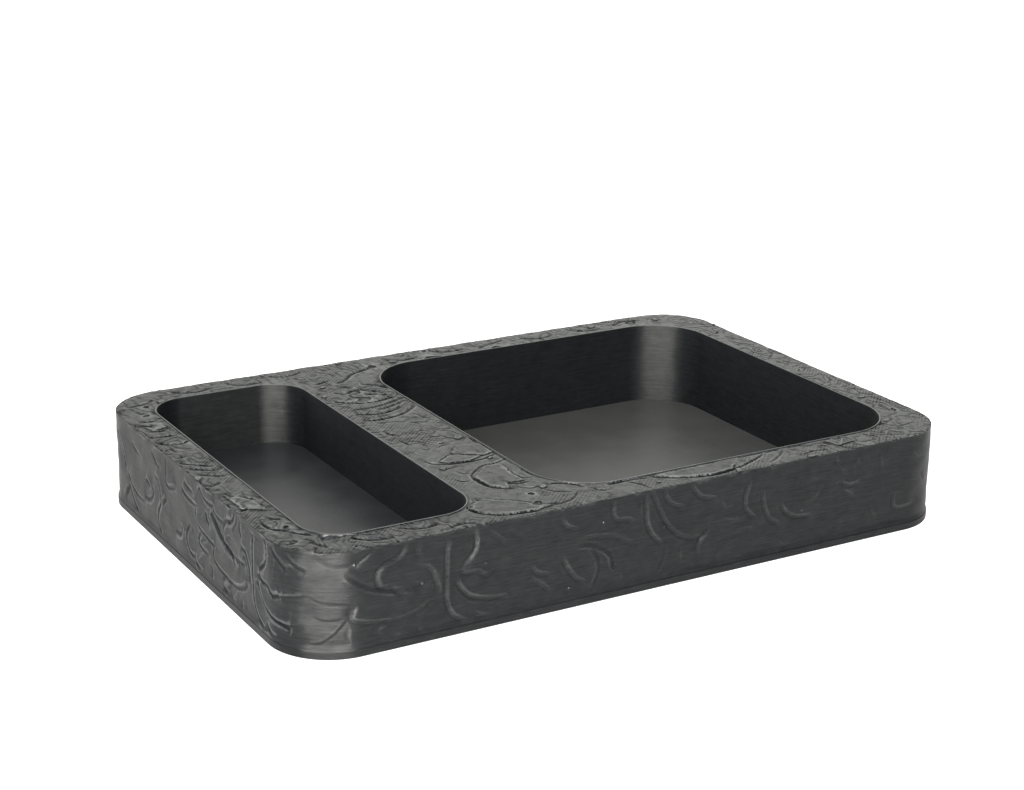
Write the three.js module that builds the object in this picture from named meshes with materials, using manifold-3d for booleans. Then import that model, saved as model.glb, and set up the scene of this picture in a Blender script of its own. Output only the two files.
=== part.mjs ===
// A rolling tray with two wells, printed as one piece of plastic: a slab with
// rounded corners, a plain base band, walls and rim set back for their carving,
// a raised lip round each well, and a higher floor in the small well.
// Millimetres, +Z up. The origin is the centre
// of the underside, +X runs along the tray's length and +Y along its width.

import * as THREE from 'three';
import { mergeVertices } from 'three/addons/utils/BufferGeometryUtils.js';
import Module from 'manifold-3d';

// Driving sizes of the slab
const trayLength = 190;
const trayWidth = 128;
const trayHeight = 26;
const outerCornerRadius = 16;
const floorThickness = 2.2;

// Driving sizes of the wells
const wallThickness = 10;
const dividerWidth = 22;
const smallWellLength = 42;
const smallWellCornerRadius = 10;
const smallWellFloorHeight = 9;
const largeWellCornerRadius = 16;
const lipWidth = 0.9;

// Driving sizes of the base band and of the ground that carries the carving
const baseBandHeight = 1.8;
const wallSetBack = 0.4;
const rimSetBack = 0.3;

// How far a cut runs past the face it opens, and the steps of a quarter circle
const cutOverrun = 1;
const arcSteps = 24;

// Places that follow from the sizes
const wellWidth = trayWidth - 2 * wallThickness;
const wellEndX = trayLength / 2 - wallThickness;
const largeWellLength = 2 * wellEndX - dividerWidth - smallWellLength;

const smallWell = {
  centreX: -wellEndX + smallWellLength / 2,
  length: smallWellLength,
  width: wellWidth,
  cornerRadius: smallWellCornerRadius,
  floorZ: smallWellFloorHeight,
};

const largeWell = {
  centreX: wellEndX - largeWellLength / 2,
  length: largeWellLength,
  width: wellWidth,
  cornerRadius: largeWellCornerRadius,
  floorZ: floorThickness,
};

const traySlab = {
  centreX: 0,
  length: trayLength,
  width: trayWidth,
  cornerRadius: outerCornerRadius,
};

const wasm = await Module();
wasm.setup();

// The same rounded rectangle, larger all round by one distance, or smaller where it is negative
function grownBy(plan, distance) {
  return {
    centreX: plan.centreX,
    length: plan.length + 2 * distance,
    width: plan.width + 2 * distance,
    cornerRadius: plan.cornerRadius + distance,
  };
}

// A rounded rectangle about (centreX, 0), drawn from four quarter circles
function roundedOutline({ centreX, length, width, cornerRadius }) {
  const arcX = length / 2 - cornerRadius;
  const arcY = width / 2 - cornerRadius;
  const quarter = Math.PI / 2;
  const arcCentres = [[arcX, arcY], [-arcX, arcY], [-arcX, -arcY], [arcX, -arcY]];
  const outline = new THREE.Shape();
  arcCentres.forEach(([x, y], turn) => {
    outline.absarc(centreX + x, y, cornerRadius, turn * quarter, (turn + 1) * quarter, false);
  });
  outline.closePath();
  return outline;
}

// A closed triangle mesh as a solid that can be joined and cut
function solidOf(geometry) {
  geometry.deleteAttribute('normal');
  geometry.deleteAttribute('uv');
  const merged = mergeVertices(geometry);
  const mesh = new wasm.Mesh({
    numProp: 3,
    vertProperties: new Float32Array(merged.attributes.position.array),
    triVerts: new Uint32Array(merged.index.array),
  });
  return new wasm.Manifold(mesh);
}

// An upright slab over a rounded rectangle, from one height to another
function slabSolid(plan, fromZ, toZ) {
  const geometry = new THREE.ExtrudeGeometry(roundedOutline(plan), {
    depth: toZ - fromZ,
    bevelEnabled: false,
    curveSegments: arcSteps / 2, // an arc takes two steps for each of these
  });
  geometry.translate(0, 0, fromZ);
  return solidOf(geometry);
}

// A joined or cut solid as a geometry with flat facets
function geometryOf(solid) {
  const mesh = solid.getMesh();
  const geometry = new THREE.BufferGeometry();
  const corners = new Float32Array(mesh.triVerts.length * 3);
  mesh.triVerts.forEach((vertex, i) => {
    for (let axis = 0; axis < 3; axis += 1) {
      corners[i * 3 + axis] = mesh.vertProperties[vertex * mesh.numProp + axis];
    }
  });
  geometry.setAttribute('position', new THREE.BufferAttribute(corners, 3));
  geometry.computeVertexNormals();
  return geometry;
}

// Base band, set-back walls and rim, and a lip round each well, all one body with both wells open at the top
function trayBodyGeometry() {
  const rimZ = trayHeight - rimSetBack;
  let body = slabSolid(traySlab, 0, baseBandHeight);
  body = body.add(slabSolid(grownBy(traySlab, -wallSetBack), baseBandHeight / 2, rimZ));
  for (const well of [smallWell, largeWell]) {
    body = body.add(slabSolid(grownBy(well, lipWidth), floorThickness, trayHeight));
  }
  for (const well of [smallWell, largeWell]) {
    body = body.subtract(slabSolid(well, well.floorZ, trayHeight + cutOverrun));
  }
  return geometryOf(body);
}

const printedPlastic = new THREE.MeshStandardMaterial({
  color: 0x2b2b2c,
  roughness: 0.45,
  metalness: 0,
});

const trayBody = new THREE.Mesh(trayBodyGeometry(), printedPlastic);
trayBody.name = 'tray_body';

const tray = new THREE.Group();
tray.name = 'rolling_tray';
tray.add(trayBody);

export default tray;
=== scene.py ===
import math

import bpy
import numpy as np
from mathutils import Matrix, Vector
from mathutils.geometry import delaunay_2d_cdt


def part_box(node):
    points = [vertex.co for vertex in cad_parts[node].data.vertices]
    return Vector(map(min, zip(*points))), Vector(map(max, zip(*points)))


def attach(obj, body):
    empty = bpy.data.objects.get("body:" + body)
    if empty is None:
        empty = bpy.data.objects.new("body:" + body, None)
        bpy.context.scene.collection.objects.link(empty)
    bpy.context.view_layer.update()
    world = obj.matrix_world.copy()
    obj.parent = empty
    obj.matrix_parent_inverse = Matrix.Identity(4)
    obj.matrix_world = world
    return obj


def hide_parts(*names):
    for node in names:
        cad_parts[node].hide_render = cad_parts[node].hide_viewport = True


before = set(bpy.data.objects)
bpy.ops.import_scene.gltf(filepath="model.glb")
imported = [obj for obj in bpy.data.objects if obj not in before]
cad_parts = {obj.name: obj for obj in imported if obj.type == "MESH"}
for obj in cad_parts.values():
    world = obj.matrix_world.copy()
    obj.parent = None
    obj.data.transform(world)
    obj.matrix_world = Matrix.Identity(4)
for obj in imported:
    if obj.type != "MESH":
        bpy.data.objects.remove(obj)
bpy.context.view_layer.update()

boxLow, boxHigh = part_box("tray_body")
mm = 0.001
scene = bpy.context.scene

# Sizes of the tray in millimetres; the outside comes from the frame
tray = {
    "length": (boxHigh[0] - boxLow[0]) / mm,
    "width": (boxHigh[1] - boxLow[1]) / mm,
    "height": (boxHigh[2] - boxLow[2]) / mm,
    "cornerRadius": 16.0,
    "bandHeight": 1.9,
    "rimDrop": 0.2,          # the rim's plateaus lie this far below the lip
    "wallSetBack": 0.42,     # the carved walls' mean face lies this far inside the band
    "bandStep": 0.14,        # and starts this far inside it
    "darkLine": 0.05,        # painted shade: a dark line runs round this far above the band
    "lipWidth": 0.5,
    "lipHeight": 0.6,        # the wells' plain walls start this far below the lip's top
    "edgeRounding": 0.12,
}
# A lip's section: how far inside its foot and how far below its top each line runs
lipProfile = [(0.06, 0.08), (0.16, 0.0), (0.24, 0.0), (0.38, 0.035), (0.465, 0.12), (0.5, 0.26)]
wells = [
    {"centreX": -64.0, "length": 42.0, "width": 108.0, "cornerRadius": 10.0, "floorZ": 9.0},
    {"centreX": 32.0, "length": 106.0, "width": 108.0, "cornerRadius": 16.0, "floorZ": 2.2},
]
fineness = {
    "outlineStep": 0.3,
    "rimStep": 0.25,
    "rimRowShare": 0.87,     # the grid's rows, as a share of its steps
    "rimClearShare": 0.6,    # and how far it stays from the fixed lines
    "rimSlack": 0.01,        # a triangle's middle may lie this far over a fixed line
    "rowStep": 0.28,
    "wellRows": 6,
    "mostTriangles": 192000,
    "sharpAngle": 38,
}


# Outlines: points along a rounded rectangle and signed distances to it

def roundedOutline(plan, step):
    # points, their normals and their places along it, anticlockwise from the front side's left end
    halfX = plan["length"] / 2 - plan["cornerRadius"]
    halfY = plan["width"] / 2 - plan["cornerRadius"]
    radius = plan["cornerRadius"]
    quarter = math.pi * radius / 2
    lengths = [2 * halfX, quarter, 2 * halfY, quarter] * 2
    points, normals, places = [], [], []
    starts = [(-halfX, -halfY - radius), (halfX, -halfY), (halfX + radius, -halfY), (halfX, halfY),
              (halfX, halfY + radius), (-halfX, halfY), (-halfX - radius, halfY), (-halfX, -halfY)]
    run = 0.0
    for side, length in enumerate(lengths):
        count = max(2, round(length / step))
        for k in range(count):
            share = k / count
            turn = (side // 2) * math.pi / 2 - math.pi / 2
            if side % 2 == 0:
                nx, ny = math.cos(turn), math.sin(turn)
                x = starts[side][0] - ny * length * share
                y = starts[side][1] + nx * length * share
            else:
                angle = turn + share * math.pi / 2
                nx, ny = math.cos(angle), math.sin(angle)
                x = starts[side][0] + radius * nx
                y = starts[side][1] + radius * ny
            points.append((x, y))
            normals.append((nx, ny))
            places.append(run + length * share)
        run += length
    centre = np.array([plan.get("centreX", 0.0), 0.0])
    return np.array(points) + centre, np.array(normals), np.array(places), run


def distanceTo(plan, x, y):
    dx = np.abs(x - plan.get("centreX", 0.0)) - (plan["length"] / 2 - plan["cornerRadius"])
    dy = np.abs(y) - (plan["width"] / 2 - plan["cornerRadius"])
    outside = np.hypot(np.maximum(dx, 0), np.maximum(dy, 0))
    return outside + np.minimum(np.maximum(dx, dy), 0) - plan["cornerRadius"]


# Carving strokes. Each is a strength and then the two coordinates of each
# of its curve's points. On the walls these are s, which runs along the outline from the
# middle of the front left corner, and the height z. There a stroke is a step, and the
# side on the left hand of its direction stands proud.

wallRepeat = -55.0   # the scrolls by the front left corner come once more on the left wall
cornerScrolls = [
    (0.9, 11, 12.8, 10.5, 11, 10.6, 9.5, 12, 8.6, 17, 7.6, 23, 7.3, 28, 8.8, 30, 10.6),
    (1.0, 24, 25.3, 23.4, 23.4, 22, 22, 19, 21, 17, 19.5, 16.8, 17.5, 17.5, 16, 19.5, 15.6),
    (0.8, 20, 15.6, 21.3, 14.4, 24.5, 12.8),
    (0.9, 26, 13.2, 21, 13.6, 16, 15, 12, 17, 8.3, 19.8),
    (0.5, 19.5, 6.4, 17.5, 6.2, 15.6, 5),
    (0.5, 16.3, 4.6, 18.3, 3.4),
    (0.5, 21, 4.4, 21.4, 3.2, 24, 2.9),
    (0.5, 27.3, 5, 27.5, 3.2, 29, 2.9),
    (0.8, 25.5, 14.9, 29, 14.6),
    (0.8, 27, 18.9, 29.5, 18.4, 31, 16.5, 32, 13.5, 32.4, 11),
    (0.6, 27.6, 24.5, 27, 22.5, 28.3, 21),
    (1.0, 34.9, 24, 34.4, 21, 34.3, 16, 34.3, 10, 35, 7, 36.6, 4.6, 40, 2.8),
    (1.2, 41.6, 25.5, 42.2, 22, 41.4, 19.3, 38, 16),
    (0.9, 38.2, 16, 39, 14.9, 42.5, 14.7, 44.5, 13.4, 47, 14.2),
    (1.3, 37, 13.8, 37.9, 11.8, 40, 9.4, 42.5, 8.2, 46, 7.4, 50.5, 7),
    (0.7, 41, 5.2, 43, 3.7, 46, 2.9),
    (0.7, 45, 25.2, 46.2, 23.3, 50, 20.5),
    (0.5, 49.5, 24.5, 52, 22.5, 55, 21.3),
    (0.6, 2, 25.2, 5, 23.2, 8, 22.8, 11.5, 23.2),
    (0.6, 10.6, 22.4, 12.5, 21.1, 15.5, 20.9, 18, 20.6),
]
leftScrolls = [
    (0.9, -110, 22, -106, 17, -104, 12.5),
    (0.8, -103, 12, -100, 9.5, -96, 8, -91, 8),
    (0.7, -107, 4, -103, 9),
    (0.7, -103, 9, -99, 5, -96, 3),
    (0.8, -90, 15, -87, 13.5),
    (0.8, -85, 14, -84.5, 11.5, -87, 9, -91, 8.4),
    (0.6, -99, 22, -97, 20.5, -93, 20),
    (0.7, -84.5, 24, -82, 22, -79, 21.5),
    (0.8, -83, 18, -80.5, 17, -79, 11.5, -81, 8, -81, 5, -79, 3),
    (0.7, -78.5, 12, -76, 14.5),
    (0.9, -74.5, 25, -74.8, 20, -74, 18, -69, 19.5),
    (0.8, -65, 10, -66, 7, -70, 6.5),
    (1.0, -59.5, 12, -61.8, 9.5, -61.6, 7, -60, 5.3, -57, 5.2),
    (0.8, -64.6, 21, -62, 19.8, -58, 19.3, -55, 19.2),
    (0.8, -63, 23.2, -60, 22.3, -57, 22.2),
    (0.8, -53, 25, -51, 23.4, -48, 22.6, -44, 23.2),
    (1.1, -55.6, 18, -55.4, 16, -54, 14.4, -50, 13.5, -44, 12.8),
    (0.8, -49, 19.8, -48, 18, -46.5, 17.6),
    (0.8, -52.5, 12.4, -54, 10.4, -52.5, 9.4, -48, 9),
    (0.8, -57, 6, -56, 4, -52, 2.9),
    (0.7, -46.5, 7, -45.8, 5, -46, 3),
    (0.7, -44.6, 22.3, -42.5, 20.9, -38, 20.4),
    (0.6, -36, 22.2, -33.4, 22.7),
    (0.5, -33, 21, -30.5, 25),
    (0.5, -39.2, 4.6, -37, 3.7, -35, 3.8),
]
cornerMarks = [
    (0.8, -11, 13, -7, 13.6, -3, 14.4, 0, 15.2),
    (0.8, 0, 15, 3, 13.8, 6, 13.4, 10, 13),
    (0.8, 1, 10.2, 4, 9.4, 9, 9.6),
    (0.7, -12, 8.4, -10, 7.4, -6, 7, -1, 7.6),
    (0.9, 0, 3.4, 3, 4, 6, 6, 9.6, 9.6),
    (1.0, 11.6, 12.6, 10.7, 11.5, 10.5, 10),
    (0.9, 9.4, 7.6, 9, 5, 9.6, 3),
    (0.8, 16.5, 25.3, 14, 24, 11, 22),
    (0.5, -9, 24, -6, 21.5, -2, 20.6),
]
frontScrolls = [
    (0.9, 57, 13.2, 58.4, 11, 62.5, 9.8),
    (0.9, 56.6, 9.8, 60, 7.5, 62.4, 5),
    (0.8, 64.8, 23.6, 66.6, 21, 70, 19.8),
    (1.0, 65.2, 14, 66.6, 10.8, 69, 7.6, 72, 5.6),
    (0.9, 72.6, 3.4, 73.8, 5.2, 74.9, 8, 74.5, 11, 72.6, 14),
    (1.0, 80.4, 7, 79, 8, 78.4, 10.6, 76.6, 12.6, 73, 14.4, 69, 15.2),
    (0.6, 82.6, 4, 82, 6.4),
    (0.8, 70.4, 17.4, 75, 17, 80, 16, 85.6, 13),
    (1.0, 79.6, 25.6, 79.2, 22.4, 80.4, 20.2, 83.8, 19.6, 85, 18.2),
    (1.1, 88.4, 25.6, 88.8, 20, 89.3, 17, 90.8, 14.2, 94, 11),
    (1.1, 90.2, 25.8, 91.4, 23, 93, 19.6, 95.2, 16, 98, 13.2, 101.5, 11.5, 105.4, 11),
    (1.0, 93.4, 25.8, 94.6, 23, 96.6, 21, 100, 19.8),
    (1.0, 101.4, 25.4, 103.2, 23, 105.2, 21.4, 109.6, 20.2),
    (0.7, 95, 10.6, 94.5, 7.2, 93.2, 4.8, 92, 3.4),
    (0.4, 88.8, 2.9, 93, 2.7, 98, 3),
    (1.0, 108, 12.8, 105.6, 10.6, 104.2, 8.2, 104.8, 5.4),
    (0.7, 111.8, 6.8, 110.3, 5.4, 110.4, 3),
    (0.5, 99.8, 10.4, 98.8, 8, 99, 5),
    (0.6, 110, 19.6, 112.4, 16.6),
    (0.6, 110.6, 14.6, 114, 13.4, 118.4, 12.8),
    (1.0, 119.6, 23.4, 118.4, 19.4, 118.7, 15.6, 121.8, 12.4),
    (1.0, 123.4, 19.8, 124, 16, 125.8, 12, 130, 9.2),
    (0.5, 113, 9.6, 119, 10.4, 124, 8.6),
    (1.3, 129.2, 15.2, 131, 12.6, 134, 10.8, 139, 10.2),
    (0.5, 134.4, 17.6, 134.6, 20, 136.6, 22.4),
    (0.5, 137, 19.4, 141.6, 19.6, 144.6, 18.2),
    (0.6, 137.8, 14, 140.8, 15, 141.4, 17.4),
    (0.6, 128.6, 5.6, 129.8, 4, 133, 3.2),
    (0.7, 146.2, 25.4, 146.4, 23.4, 148, 22.4),
    (0.6, 145.6, 22, 148, 20.6, 150.6, 19.2),
    (0.9, 148, 18, 149.8, 16.5, 152, 16.2, 155, 16.7),
    (0.6, 148.8, 15.6, 151, 13.8, 154.2, 11.6),
    (0.6, 153.2, 24, 153, 22, 155, 20.8),
    (0.6, 161, 24.5, 160.8, 21.5, 162, 17.5),
    (0.9, 166.6, 12, 166.2, 8.6, 167.6, 6.8, 173.4, 7),
    (0.5, 158, 9, 159.5, 6, 162.5, 4.4),
    (0.6, 171, 22.5, 173.5, 20, 177, 19.4),
    (0.7, 176, 15.5, 178.5, 12.4, 182, 11.6),
]

# Small beads of plastic left on the front wall
wallBeads = [(11, 22.3), (28, 14.5), (44.5, 16.2), (67.3, 5.1), (76.5, 20), (94, 15.7), (136, 12)]

# Rim strokes are grooves in x and y, cut into flat plateaus
dividerGrooves = [
    (1.0, -40.5, -20.5, -39, -23, -36, -24.7, -30, -25.6, -25, -25, -21.5, -23.2),
    (0.8, -37.5, -22.4, -34.5, -20.4, -33, -19.4, -30.6, -19.8, -28.5, -21.8, -25, -23.6),
    (1.1, -21.5, -28, -25, -29.3, -29, -29.6, -32, -31.8, -35, -35, -35.2, -40, -34, -44, -30, -47.2),
    (0.6, -36.8, -30, -36, -32, -34, -33),
    (0.6, -39.5, -28.4, -37.5, -27.6, -34, -27.2),
    (0.6, -40, -35.4, -38.6, -37, -37, -37.6),
    (0.8, -25, -35, -25.2, -39, -24.2, -41.5, -22, -42.3),
    (0.9, -30, -42.6, -28.4, -43.8, -27, -44.4, -24, -44.5),
    (0.9, -29, -46, -27.6, -47.6, -26, -48.5, -23.5, -48.5),
    (1.2, -22.5, -47.8, -19, -48.8, -16.4, -50.6, -14.6, -54),
    (0.8, -13.6, -55, -12.4, -57.6, -10, -58.6),
    (0.9, -24, -51.2, -21.8, -53.4, -19, -55.5),
    (1.0, -39.4, -49.6, -36, -52.4, -33.4, -54.4, -30, -58.2, -25.5, -60),
    (0.9, -46.4, -53.6, -45.4, -56.4, -43, -59, -39, -61, -32, -62),
    (0.8, -28.6, -59.6, -25, -60.4, -21, -59, -17.5, -55.8),
    (0.7, -41.6, -48, -41.4, -50.4, -39.5, -50.6),
    (0.5, -36.8, -11.4, -36, -13, -34.6, -13.2),
    (0.6, -33, -13.4, -31, -12.2, -28.6, -12),
    (0.6, -29.8, -10, -29, -11.4),
    (0.7, -30.6, -4.6, -28.6, -5.6, -27.4, -4.8),
    (0.7, -39, -4, -38.2, -6.4, -37.5, -9),
    (0.6, -27, -6, -26.4, -8, -25, -9),
    (0.5, -35, -6.6, -33.6, -8.2),
    (0.6, -32.4, -0.4, -30.2, 0.6, -28, -0.4),
]
dividerStrands = [
    (0.9, -40, 32, -35, 28.6, -30, 27.4, -24, 28.5),
    (0.7, -39, 23.5, -32, 23.5, -26.5, 25, -22, 27),
    (0.6, -33, 20.5, -27.5, 22.2, -22.5, 24.5),
    (0.7, -40, 20, -35, 18, -31, 18, -26, 20),
    (0.7, -40, 14, -34, 13.5, -28, 15, -22, 19.5),
    (0.9, -37, 39, -34, 37, -31.5, 38.4, -29, 38, -24, 33),
    (0.7, -34, 35.5, -33, 32.6, -28, 31),
    (0.6, -30, 34, -28.4, 33.4, -27, 32),
    (0.8, -27, 43, -23.4, 39.8, -21.6, 36),
    (0.6, -34, 44, -30, 41),
    (0.8, -33, 46, -29, 48, -25, 52, -18, 54.6),
    (0.6, -39, 47.5, -33, 49.5),
    (0.5, -25, 13, -24.6, 10, -23.5, 8),
    (0.6, -39, 5, -38.6, 2, -37, -1),
]
frontRimGrooves = [    # the front rim and the right one
    (0.9, -9, -55.4, -3, -55.2, 3, -56),
    (0.7, -3.5, -56, -1.6, -59, -1, -62.5),
    (1.1, 3, -55.4, 6, -57.8, 10, -60, 15, -61.6, 20, -62, 28, -60, 37, -56),
    (0.6, 24, -56, 26, -58.5),
    (0.7, 35, -61.5, 39, -59.5, 44, -55.4),
    (0.6, 45, -55.4, 46.5, -58),
    (0.6, 46, -61, 50, -60, 54, -61),
    (0.6, 56, -55.4, 57, -59),
    (0.7, 59, -56, 63, -55.6, 64, -59),
    (0.6, 64.6, -60.5, 69.4, -60.6),
    (0.6, 69, -55.4, 71.5, -59),
    (0.6, 77, -57, 80, -60),
    (0.6, 80.5, -51.6, 84, -50.4),
    (0.6, 81, -55.4, 87, -55),
    (0.7, 88.4, -39, 88.6, -46),
    (0.5, 90, -30, 91.6, -26, 90.6, -22),
    (0.5, 88, -18, 91, -15.6, 92.6, -11),
    (0.5, 89, -6, 91.6, -3.6),
    (0.5, 92.4, 0, 90.4, 3.4, 88, 4.4),
    (0.5, 88.4, 9, 91.6, 12, 92.4, 16.6),
    (0.5, 91.6, 22, 89, 25.6, 88, 30),
    (0.5, 88.6, 36, 91.8, 38.6),
    (0.5, 92.8, 44, 89, 49, 85.6, 51),
]
lipGrooves = [
    (0.9, -21.8, -9.5, -21.9, -12, -21.8, -15.4),
    (0.5, -21.8, -15.4, -21.7, -24, -21.7, -34),
    (0.7, -21.6, -34, -21.5, -39, -20.8, -43),
    (1.1, -20.8, -41.4, -20, -43.4),
    (1.2, -9, -54.7, -6.4, -54.9, -3.6, -54.9),
    (0.6, -3.6, -54.9, 8, -54.8, 20, -54.8),
    (0.9, 20, -54.8, 24.4, -54.8),
    (0.8, 30, -54.9, 33, -54.8, 38, -54.8),
    (0.9, 40, -54.9, 43, -54.9),
    (0.6, 45.5, -54.9, 52, -54.8),
    (0.6, -45, -52.4, -43, -50.4, -42.2, -48),
    (0.5, 86, -34, 86, -20, 86, -8),
]
leftRimGrooves = [
    (0.7, -93, -52.5, -91, -52.8, -89, -52),
    (0.6, -87, -54, -84.5, -59),
    (0.7, -78, -56, -74, -59.4, -69, -60.4),
    (0.6, -66, -56, -61, -58.6, -56, -58),
    (0.6, -57, -62, -52, -60.4, -48.5, -61.8),
    (0.7, -91, -42, -88.4, -46, -84.6, -51),
    (0.7, -92, -38, -91.4, -42, -90, -45),
    (0.7, -94, 7, -91, 4.6, -87, 1),
    (0.7, -94, 3, -91, 0.6, -87, -2),
    (0.6, -93.6, -2, -90, -4.6, -87, -7),
    (0.6, -93.6, -11.5, -90, -10),
    (0.6, -92, -17, -91.5, -21),
    (0.6, -89.6, -20, -87.4, -25),
    (0.6, -93.6, -29.5, -91, -29),
    (0.6, -90, -36, -87, -38.5),
    (0.7, -94, 24, -91, 21, -86.6, 20),
    (0.6, -94, 27.5, -90, 27.4, -86.6, 26.5),
    (0.6, -93, 33, -89, 31.6, -87, 33),
    (0.6, -92, 40.5, -87, 39.5),
    (0.6, -94, 39, -90, 35),
    (0.6, -91, 53.5, -86, 54, -82, 56),
    (0.6, -90, 49, -88, 45.5),
    (0.5, -92, 18, -91.5, 14),
    (0.5, -90.5, 18, -87, 15),
    (0.5, -94, 10.5, -90, 11),
]
backRimGrooves = [
    (0.6, -76, 60, -70, 57.4, -64, 58.6),
    (0.6, -60, 61, -56, 57, -50, 56.6),
    (0.6, -47, 60.6, -42, 58.6, -37, 60),
    (0.6, -12, 60, -7, 57, -1, 57.6),
    (0.6, 4, 61.6, 8, 58.4, 14, 58),
    (0.6, 18, 56.6, 23, 59, 29, 60.6),
    (0.6, 34, 60, 39, 57.2, 45, 58.4),
    (0.6, 51, 61, 55, 57.6, 61, 57),
    (0.6, 66, 58, 71, 60.6, 77, 59),
]

# Plateaus one print layer above the rest of the rim, by their corners
plateaus = [
    [(-39.4, -49.8), (-33.4, -54.6), (-28, -59.5), (-26, -60), (-32, -61.6), (-40, -60.6), (-45, -57),
     (-46.4, -53), (-43, -50.5)],
    [(4, -55.6), (24, -55.4), (26.5, -58.8), (24, -61), (18, -61.7), (10, -60.2)],
    [(-37.5, -22.6), (-33.6, -19.8), (-30.6, -20), (-26, -23.6), (-30, -25.2), (-36, -24.4)],
    [(-29, -30.5), (-35, -36), (-34.5, -43), (-31, -46.5), (-29.6, -43), (-25.2, -43.6), (-25, -35),
     (-24.5, -31)],
    [(-28, -14), (-22, -15.5), (-22, -22.6), (-25, -23.4), (-29.4, -20.4), (-32, -18.6)],
    [(57, -55.6), (63.4, -55.8), (64, -59), (58, -60)],
    [(-93.5, 39), (-87, 37.5), (-87, 33.5), (-91, 32.5)],
    [(-93, -18), (-88, -24.5), (-87.5, -32), (-92.5, -28)],
]

carving = {
    "stepHeight": 0.15,      # how far a step's proud side stands up, and its low side drops, in mm
    "stepEdge": 0.5,         # half the width of the step's face
    "proudFade": 3.0,        # how fast the proud side comes back to the ground
    "lowFade": 2.2,          # and the low side
    "ridgeHeight": 0.05,     # a low ridge runs along the top of each step
    "ridgeWidth": 0.3,
    "ridgeOffset": 0.4,
    "creaseDepth": 0.12,     # and a crease along its foot
    "creaseWidth": 0.4,
    "creaseOffset": 0.8,
    "markStep": 0.12,        # the marks round the corner are creases with a slight step
    "grooveDepth": 0.3,
    "grooveWidth": 0.36,
    "strandDepth": 0.6,      # soft hollows on the divider's far part and on the left and back rims
    "strandWidth": 0.62,
    "plateauWidth": 4.0,
    "plateauRise": 0.2,
    "grooveLip": 0.06,       # the plateaus on a groove's two sides differ by this much
    "mostProud": 0.4,        # no carving stands further than this from the walls' mean face
    "mostDeep": 0.95,        # or lies deeper than this
    "rimProud": 0.1,         # and the same for the rim's terraces and grooves
    "grooveProud": 0.06,
    "grooveDeepest": 0.5,
    "reach": 6.0,            # a stroke is worked out this far from its curve
    "taper": 2.4,            # its ends fade over this length, or over this share of a short one
    "taperShare": 0.4,
    "leftDepth": 2.0,        # the left and right walls are carved deeper than the front and back
    "frontDepth": 0.7,
    "wobble": 0.05,          # how far print steps push the walls' strokes about
    "rimWobble": 0.1,        # and the rim's
    "wobbleWaves": (0.9, 3.0, 8),      # shortest and longest wave, and how many
    "swell": 0.08,           # broad rise and fall of the walls' ground
    "swellWaves": (5.0, 18.0, 12),
    "rimSwell": 0.06,        # and of the rim's, where it shows as terraces
    "rimSwellWaves": (5.0, 22.0, 10),
    "seamBlend": 12.0,       # the waves blend into their own start over this length of the outline
    "notchShare": 1.2,       # where a wall's carving runs in, the rim's edge is notched
    "notchReach": 1.1,
    "nickDepth": 0.2,        # and it has small nicks all round
    "nickFrom": 0.25,
    "nickReach": 0.7,
    "nickWaves": (1.4, 6.0, 10),
    "lipFade": 0.15,         # the rim's carving starts over this distance from a lip
    "wallFade": 1.6,         # and the walls' over this height above the band
    "beadHeight": 0.3,
    "beadWidth": 0.25,
    "seed": 7,
}


def smoothCurve(points, step=0.45):
    # a curve through all the points, with even tangents
    points = points.astype(float)
    padded = np.vstack([2 * points[0] - points[1], points, 2 * points[-1] - points[-2]])
    out = []
    for k in range(len(points) - 1):
        a, b, c, d = padded[k:k + 4]
        count = max(2, int(np.hypot(*(c - b)) / step))
        t = np.linspace(0, 1, count, endpoint=False)[:, None]
        out.append(0.5 * (2 * b + (c - a) * t + (2 * a - 5 * b + 4 * c - d) * t ** 2
                          + (3 * b - a - 3 * c + d) * t ** 3))
    out.append(points[-1:])
    return np.vstack(out)


def waves(x, y, shortest, longest, count, seed):
    # smooth noise from a sum of waves, about -1 to 1
    random = np.random.default_rng(seed)
    total = np.zeros_like(x)
    for _ in range(count):
        length = shortest * (longest / shortest) ** random.random()
        heading = random.random() * 2 * math.pi
        phase = random.random() * 2 * math.pi
        total += np.sin(2 * math.pi * (x * math.cos(heading) + y * math.sin(heading)) / length + phase)
    return total / math.sqrt(count)


def smoothStep(low, high, value):
    t = np.clip((value - low) / (high - low), 0, 1)
    return t * t * (3 - 2 * t)


def hump(gap, width):
    return np.exp(-(gap / width) ** 2)


def strokeShape(x, y, strokes, profile):
    # adds every stroke's profile to the heights at the points (x, y)
    height = np.zeros_like(x)
    for strength, points in strokes:
        curve = smoothCurve(points)
        low = curve.min(0) - carving["reach"]
        high = curve.max(0) + carving["reach"]
        near = np.nonzero((x > low[0]) & (x < high[0]) & (y > low[1]) & (y < high[1]))[0]
        if len(near) == 0:
            continue
        start, way = curve[:-1], np.diff(curve, axis=0)
        gap = np.stack([x[near], y[near]], 1)[:, None] - start
        share = np.clip((gap * way).sum(2) / (way ** 2).sum(1), 0, 1)
        offset = gap - share[:, :, None] * way
        best = (offset ** 2).sum(2).argmin(1)
        row = np.arange(len(near))
        offset, heading = offset[row, best], way[best]
        side = np.sign(heading[:, 0] * offset[:, 1] - heading[:, 1] * offset[:, 0])
        along = (best + share[row, best]) / len(way)
        length = np.hypot(way[:, 0], way[:, 1]).sum()
        fadeLength = min(carving["taper"], carving["taperShare"] * length)
        taper = np.clip(np.minimum(along, 1 - along) * length / fadeLength, 0, 1)
        height[near] += strength * np.sqrt(taper) * profile(side * np.hypot(offset[:, 0], offset[:, 1]))
    return height


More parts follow.
